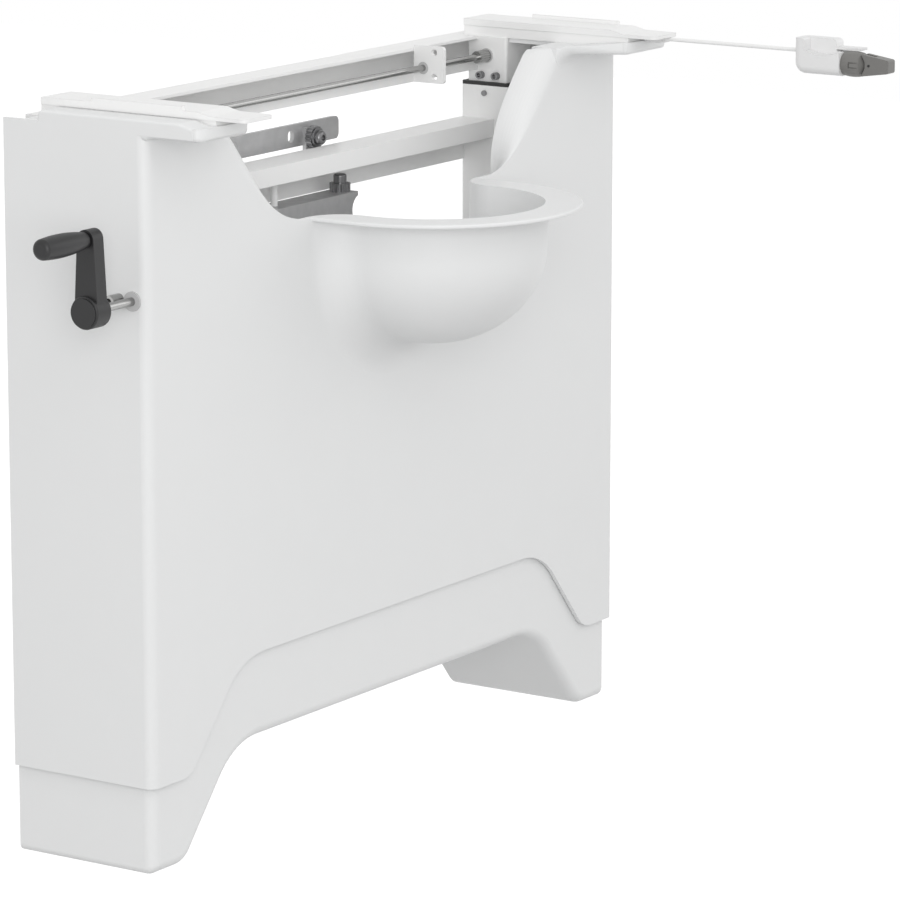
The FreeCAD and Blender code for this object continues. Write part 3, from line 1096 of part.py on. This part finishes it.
def control_pieces():
    """Hand control in front of the right arm: rod, clip, hooked housing, grey body, lever and pin."""
    x = rod_x_at
    save("control_rod", rod_y(HAND_BACK_Y, ROD_BACK_Y, x, ROD_Z, ROD_R))
    clip_front = ROD_BACK_Y - CLIP_L
    clip = box(x - CLIP_W / 2, x + CLIP_W / 2, clip_front, ROD_BACK_Y, arm_plate_z - CLIP_T, arm_plate_z)
    save("rod_clip", clip.cut(rod_y(clip_front - 1, ROD_BACK_Y, x, ROD_Z, ROD_R)))
    x0 = x - HAND_W / 2
    x1 = x + HAND_W / 2
    top = HAND_LOW_Z + HAND_H
    hook_y = HAND_BACK_Y - HOOK_L
    wall_x = x1 - GUARD_T
    body = slab_yz([(HAND_BACK_Y, HAND_LOW_Z, HAND_HEEL_R), (HAND_BACK_Y, HOOK_TOP_Z, 0),
                    (hook_y, HOOK_TOP_Z, HOOK_EDGE_R), (hook_y, top, 0),
                    (hand_front_y, top, 0), (hand_front_y, HAND_LOW_Z, 0)], x0, x1)
    body = fillet_where(
        body, HAND_SIDE_R,
        lambda e: abs(e.BoundBox.ZMax - HAND_LOW_Z) < 1e-3 and e.BoundBox.YLength > HOOK_L)
    middle = (hook_y + hand_front_y) / 2
    half = (hook_y - hand_front_y) / 2 - HOOK_EDGE_R
    saddle_r = (half ** 2 + SADDLE_DEPTH ** 2) / (2 * SADDLE_DEPTH)
    body = body.cut(rod_x(x0 - 1, wall_x, middle, top + saddle_r - SADDLE_DEPTH, saddle_r).common(
        box(x0 - 1, wall_x, hand_front_y - 1, hook_y, HAND_LOW_Z, HOOK_TOP_Z)))
    guard_front = hook_y - GUARD_L
    in_hook = hook_y + HOOK_L / 2
    guard = slab_yz([(in_hook, top, 0), (guard_front, top, 0), (guard_front, HOOK_TOP_Z, GUARD_R),
                     (in_hook, HOOK_TOP_Z, 0)], wall_x, x1)
    visor_z = GREY_Z + GREY_R + VISOR_GAP
    visor = box(wall_x, x1, guard_front - VISOR_L, hook_y, visor_z, visor_z + VISOR_T)
    save("control_housing", body.fuse([guard, visor]).removeSplitter())
    nose_y = grey_front_y - GREY_NOSE_L
    belly_y = (hand_front_y + grey_front_y) / 2
    barrel = [V(x, hand_front_y, GREY_Z + GREY_BACK_R), V(x, belly_y, GREY_Z + GREY_R),
              V(x, grey_front_y, GREY_Z + GREY_FRONT_R)]
    back_middle = V(x, hand_front_y, GREY_Z)
    outline = [barrel[2], V(x, nose_y, GREY_Z + GREY_NOSE_R), V(x, nose_y, GREY_Z), back_middle, barrel[0]]
    edges = [Part.Arc(*barrel).toShape()]
    for first, second in zip(outline, outline[1:]):
        edges.append(Part.LineSegment(first, second).toShape())
    grey = Part.Solid(Part.Face(Part.Wire(edges)).revolve(back_middle, V(0, 1, 0), 360))
    strip = STRIP_H / 2
    edge = strip + STRIP_GROOVE
    strip_back = grey_front_y + STRIP_L
    side = x - GREY_R
    groove = box(side - 1, side + STRIP_DEPTH, nose_y, strip_back, GREY_Z - edge, GREY_Z + edge)
    groove = groove.cut(box(side - 1, x, nose_y, strip_back - STRIP_GROOVE, GREY_Z - strip, GREY_Z + strip))
    eye = box(x - LEVER_EYE_T / 2, x + LEVER_EYE_T / 2, lever_y - LEVER_EYE_R, grey_front_y,
              GREY_Z - LEVER_EYE_R, GREY_Z + LEVER_EYE_R)
    grey = grey.cut(groove).fuse(eye).removeSplitter()
    save("control_body", grey.cut(rod_x(x - LEVER_W, x + LEVER_W, lever_y, GREY_Z, LEVER_PIN_R)))
    root = LEVER_ROOT_H / 2
    tip = LEVER_TIP_H / 2
    back = grey_front_y - LEVER_GAP
    inner = nose_y - LEVER_GAP
    front = back - LEVER_L
    lever = slab_yz([(back, GREY_Z - root, LEVER_ROOT_R), (inner, GREY_Z - GREY_NOSE_R, 0),
                     (inner, GREY_Z + GREY_NOSE_R, 0), (back, GREY_Z + root, LEVER_ROOT_R),
                     (front, GREY_Z + tip, LEVER_TIP_R), (front, GREY_Z - tip, LEVER_TIP_R)],
                    x - LEVER_W / 2, x + LEVER_W / 2)
    gap = LEVER_EYE_T / 2 + LEVER_SIDE_GAP
    slot_end = lever_y - LEVER_EYE_R - LEVER_GAP
    lever = lever.cut(box(x - gap, x + gap, slot_end, back, GREY_Z - root, GREY_Z + root))
    lever = lever.cut(rod_x(x - LEVER_W, x + LEVER_W, lever_y, GREY_Z, LEVER_PIN_R + RUN_GAP))
    save("control_lever", lever)
    save("lever_pin", rod_x(x - LEVER_W / 2, x + LEVER_W / 2, lever_y, GREY_Z, LEVER_PIN_R))


os.makedirs("parts", exist_ok=True)
save("lower_cover", lower_cover())
save("upper_cover", upper_cover())
column_pieces()
spindle_pieces()
cross_shaft_pieces()
top_frame()
arm_pieces()
screw_pieces()
fixed_frame()
service_pieces()
pipe_bracket_pieces()
crank_pieces()
drive_pieces()
control_pieces()
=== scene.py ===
import json

import bmesh
import bpy
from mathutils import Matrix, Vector

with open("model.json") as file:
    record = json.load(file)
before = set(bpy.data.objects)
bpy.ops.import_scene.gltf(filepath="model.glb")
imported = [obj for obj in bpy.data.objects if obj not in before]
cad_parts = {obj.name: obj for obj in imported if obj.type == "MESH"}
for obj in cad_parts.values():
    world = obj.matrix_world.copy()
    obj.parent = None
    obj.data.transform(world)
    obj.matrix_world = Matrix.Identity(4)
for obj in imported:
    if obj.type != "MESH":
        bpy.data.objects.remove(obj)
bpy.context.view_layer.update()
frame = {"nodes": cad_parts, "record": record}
nodes = frame["nodes"]

FLOAT = "NodeSocketFloat"
COLOUR = "NodeSocketColor"
WHITE = (1.0, 1.0, 1.0, 1.0)


# Surface effects shared by the finishes

GLOSS_DETAIL = 4.0
TONE_DETAIL = 5.0
GRAIN_DETAIL = 3.0
GLOSS_SWING = 2.0  # noise keeps to its middle half, so this stretches it over the whole spread


def effect(name, inputs, output, kind):
    """An effect group with named sockets: the group, its input and output, Object coordinates."""
    group = bpy.data.node_groups.new(name, "ShaderNodeTree")
    group.interface.new_socket(output, in_out="OUTPUT", socket_type=kind)
    for label, socket in inputs:
        group.interface.new_socket(label, in_out="INPUT", socket_type=socket)
    given = group.nodes.new("NodeGroupInput")
    result = group.nodes.new("NodeGroupOutput")
    place = group.nodes.new("ShaderNodeTexCoord")
    return group, given, result, place.outputs["Object"]


def clouds(group, place, scale, detail):
    """Soft noise over the surface; scale is a socket of the group."""
    noise = group.nodes.new("ShaderNodeTexNoise")
    noise.inputs["Detail"].default_value = detail
    group.links.new(place, noise.inputs["Vector"])
    group.links.new(scale, noise.inputs["Scale"])
    return noise.outputs["Fac"]


def uneven_gloss():
    """Roughness that drifts by a spread either way."""
    inputs = [("Roughness", FLOAT), ("Spread", FLOAT), ("Scale", FLOAT)]
    group, given, result, place = effect("uneven_gloss", inputs, "Roughness", FLOAT)
    noise = clouds(group, place, given.outputs["Scale"], GLOSS_DETAIL)
    centred = group.nodes.new("ShaderNodeMapRange")
    centred.inputs["To Min"].default_value = -GLOSS_SWING
    centred.inputs["To Max"].default_value = GLOSS_SWING
    add = group.nodes.new("ShaderNodeMath")
    add.operation = "MULTIPLY_ADD"
    group.links.new(noise, centred.inputs["Value"])
    group.links.new(centred.outputs["Result"], add.inputs[0])
    group.links.new(given.outputs["Spread"], add.inputs[1])
    group.links.new(given.outputs["Roughness"], add.inputs[2])
    group.links.new(add.outputs["Value"], result.inputs["Roughness"])
    return group


def tone_drift():
    """A colour that darkens a little in soft patches."""
    inputs = [("Colour", COLOUR), ("Drift", FLOAT), ("Scale", FLOAT)]
    group, given, result, place = effect("tone_drift", inputs, "Colour", COLOUR)
    noise = clouds(group, place, given.outputs["Scale"], TONE_DETAIL)
    darker = group.nodes.new("ShaderNodeHueSaturation")
    value = group.nodes.new("ShaderNodeMath")
    value.operation = "SUBTRACT"
    value.inputs[0].default_value = 1.0
    mix = group.nodes.new("ShaderNodeMix")
    mix.data_type = "RGBA"
    group.links.new(given.outputs["Drift"], value.inputs[1])
    group.links.new(value.outputs["Value"], darker.inputs["Value"])
    group.links.new(given.outputs["Colour"], darker.inputs["Color"])
    group.links.new(noise, mix.inputs["Factor"])
    group.links.new(given.outputs["Colour"], mix.inputs["A"])
    group.links.new(darker.outputs["Color"], mix.inputs["B"])
    group.links.new(mix.outputs["Result"], result.inputs["Colour"])
    return group


def fine_grain():
    """Height of a fine grain: moulded plastic, powder coat or metal, by its scale."""
    group, given, result, place = effect("fine_grain", [("Scale", FLOAT)], "Height", FLOAT)
    noise = clouds(group, place, given.outputs["Scale"], GRAIN_DETAIL)
    group.links.new(noise, result.inputs["Height"])
    return group


GLOSS = uneven_gloss()
DRIFT = tone_drift()
GRAIN = fine_grain()


# Finishes, with lengths in metres

GRAIN_DEPTH = 0.0002
EDGE_SAMPLES = 4


def place_effect(tree, group, **values):
    """An effect placed in a finish, with its own values."""
    node = tree.nodes.new("ShaderNodeGroup")
    node.node_tree = group
    for label, value in values.items():
        node.inputs[label].default_value = value
    return node


def finish(name, colour, rough, metal=0.0, drift=0.03, spread=0.03, patch=30.0,
           grain=0.05, grain_scale=900.0, edge=0.0):
    """One finish: drifting tone and gloss, fine grain, and edges softened in the shading."""
    mat = bpy.data.materials.new(name)
    mat.use_nodes = True
    tree = mat.node_tree
    shader = tree.nodes["Principled BSDF"]
    shader.inputs["Metallic"].default_value = metal
    tone = place_effect(tree, DRIFT, Colour=(*colour, 1.0), Drift=drift, Scale=patch)
    gloss = place_effect(tree, GLOSS, Roughness=rough, Spread=spread, Scale=patch)
    height = place_effect(tree, GRAIN, Scale=grain_scale)
    bump = tree.nodes.new("ShaderNodeBump")
    bump.inputs["Strength"].default_value = grain
    bump.inputs["Distance"].default_value = GRAIN_DEPTH
    tree.links.new(tone.outputs["Colour"], shader.inputs["Base Color"])
    tree.links.new(gloss.outputs["Roughness"], shader.inputs["Roughness"])
    tree.links.new(height.outputs["Height"], bump.inputs["Height"])
    tree.links.new(bump.outputs["Normal"], shader.inputs["Normal"])
    if edge:
        soft = tree.nodes.new("ShaderNodeBevel")
        soft.samples = EDGE_SAMPLES
        soft.inputs["Radius"].default_value = edge
        tree.links.new(soft.outputs["Normal"], bump.inputs["Normal"])
    return mat


FINISHES = {
    "cover_white": dict(colour=(0.83, 0.835, 0.835), rough=0.40, drift=0.01),
    "frame_white": dict(colour=(0.90, 0.90, 0.895), rough=0.36, drift=0.02, grain=0.08,
                        edge=0.0006),
    "galvanised": dict(colour=(0.52, 0.52, 0.525), rough=0.42, metal=0.7, drift=0.20,
                       spread=0.08, patch=120.0, grain=0.10, edge=0.0004),
    "bright_steel": dict(colour=(0.40, 0.40, 0.395), rough=0.22, metal=1.0, drift=0.10,
                         spread=0.05, patch=200.0),
    "zinc_screw": dict(colour=(0.24, 0.24, 0.245), rough=0.32, metal=0.9, drift=0.15,
                       spread=0.06, patch=200.0, edge=0.0003),
    "black_plastic": dict(colour=(0.018, 0.018, 0.018), rough=0.45),
    "crank_grey": dict(colour=(0.015, 0.015, 0.016), rough=0.45, grain=0.14,
                       grain_scale=1500.0, edge=0.0008),
    "control_grey": dict(colour=(0.19, 0.186, 0.178), rough=0.44, grain=0.08,
                         grain_scale=1500.0, edge=0.0004),
    "control_white": dict(colour=(0.82, 0.82, 0.82), rough=0.40, edge=0.0006),
    "bush_grey": dict(colour=(0.55, 0.55, 0.55), rough=0.45),
    "bronze": dict(colour=(0.50, 0.36, 0.16), rough=0.35, metal=1.0, drift=0.15, spread=0.06),
    "belt_black": dict(colour=(0.02, 0.02, 0.02), rough=0.65, grain=0.12),
}
looks = {name: finish(name, **values) for name, values in FINISHES.items()}

for part in frame["record"]["subparts"]:
    mesh = nodes[part["node"]].data
    mesh.materials.clear()
    mesh.materials.append(looks[part["material_slot"]])


# Floor, light and camera, in metres and watts

AMBIENT = 0.79
FLOOR_Z = -0.60
FLOOR_HALF = 6.0
FLOOR_BASE = (0.45, 0.45, 0.45, 1.0)
FLOOR_ROUGH = 0.9
FLOOR_WHITE = 0.75

LAMPS = {
    "key": dict(place=(-1.6, -2.6, 2.6), target=(0.0, -0.1, 0.0), size=1.8, power=8.0),
    "head": dict(place=(-3.0, -2.4, 1.0), target=(0.0, -0.1, 0.1), size=1.8, power=38.0),
    "fill": dict(place=(2.4, -2.2, 1.2), target=(0.0, -0.1, 0.0), size=2.0, power=8.0),
}

# The photograph's viewing angle
EYE = Vector((-3.46100, -2.49809, 0.90542))
AHEAD = Vector((0.814726, 0.541260, -0.207991))
LENS = 198.5  # mm, on the sensor's width
SENSOR_WIDTH = 36.0
FAR_CLIP = 100.0


def seen_white(tree):
    """1 where the camera looks, also in reflections and through glass, else 0."""
    path = tree.nodes.new("ShaderNodeLightPath")
    direct = tree.nodes.new("ShaderNodeMath")
    direct.operation = "MAXIMUM"
    either = tree.nodes.new("ShaderNodeMath")
    either.operation = "MAXIMUM"
    tree.links.new(path.outputs["Is Camera Ray"], direct.inputs[0])
    tree.links.new(path.outputs["Is Glossy Ray"], direct.inputs[1])
    tree.links.new(direct.outputs["Value"], either.inputs[0])
    tree.links.new(path.outputs["Is Transmission Ray"], either.inputs[1])
    return either.outputs["Value"]


def white_world():
    """White to the camera and in reflections, softer as light on the object."""
    world = bpy.data.worlds.new("studio")
    bpy.context.scene.world = world
    world.use_nodes = True
    tree = world.node_tree
    tree.nodes.clear()
    span = tree.nodes.new("ShaderNodeMapRange")
    span.inputs["To Min"].default_value = AMBIENT
    span.inputs["To Max"].default_value = 1.0
    back = tree.nodes.new("ShaderNodeBackground")
    back.inputs["Color"].default_value = WHITE
    out = tree.nodes.new("ShaderNodeOutputWorld")
    tree.links.new(seen_white(tree), span.inputs["Value"])
    tree.links.new(span.outputs["Result"], back.inputs["Strength"])
    tree.links.new(back.outputs["Background"], out.inputs["Surface"])


def pale_floor():
    """A plain floor below the wall frame, lifted to white where the camera sees it."""
    mesh = bpy.data.meshes.new("floor")
    shape = bmesh.new()
    bmesh.ops.create_grid(shape, x_segments=1, y_segments=1, size=FLOOR_HALF)
    bmesh.ops.translate(shape, verts=shape.verts, vec=(0.0, 0.0, FLOOR_Z))
    shape.to_mesh(mesh)
    shape.free()
    mat = bpy.data.materials.new("floor_white")
    mat.use_nodes = True
    tree = mat.node_tree
    shader = tree.nodes["Principled BSDF"]
    shader.inputs["Base Color"].default_value = FLOOR_BASE
    shader.inputs["Roughness"].default_value = FLOOR_ROUGH
    shader.inputs["Emission Color"].default_value = WHITE
    lift = tree.nodes.new("ShaderNodeMath")
    lift.operation = "MULTIPLY"
    lift.inputs[1].default_value = FLOOR_WHITE
    tree.links.new(seen_white(tree), lift.inputs[0])
    tree.links.new(lift.outputs["Value"], shader.inputs["Emission Strength"])
    mesh.materials.append(mat)
    floor = bpy.data.objects.new("floor", mesh)
    bpy.context.scene.collection.objects.link(floor)


def set_up(name, data, place, ahead):
    """A lamp or camera in the scene, at its place and facing ahead."""
    obj = bpy.data.objects.new(name, data)
    bpy.context.scene.collection.objects.link(obj)
    obj.location = place
    obj.rotation_euler = ahead.to_track_quat("-Z", "Y").to_euler()
    return obj


def soft_light(name, place, target, size, power):
    """A round area lamp that faces its target."""
    lamp = bpy.data.lights.new(name, "AREA")
    lamp.shape = "DISK"
    lamp.size = size
    lamp.energy = power
    set_up(name, lamp, place, Vector(target) - Vector(place))


white_world()
pale_floor()
for name, values in LAMPS.items():
    soft_light(name, **values)

camera = bpy.data.cameras.new("camera")
camera.sensor_width = SENSOR_WIDTH
camera.lens = LENS
camera.clip_end = FAR_CLIP
bpy.context.scene.camera = set_up("camera", camera, EYE, AHEAD)
bpy.context.scene.view_settings.view_transform = "Standard"
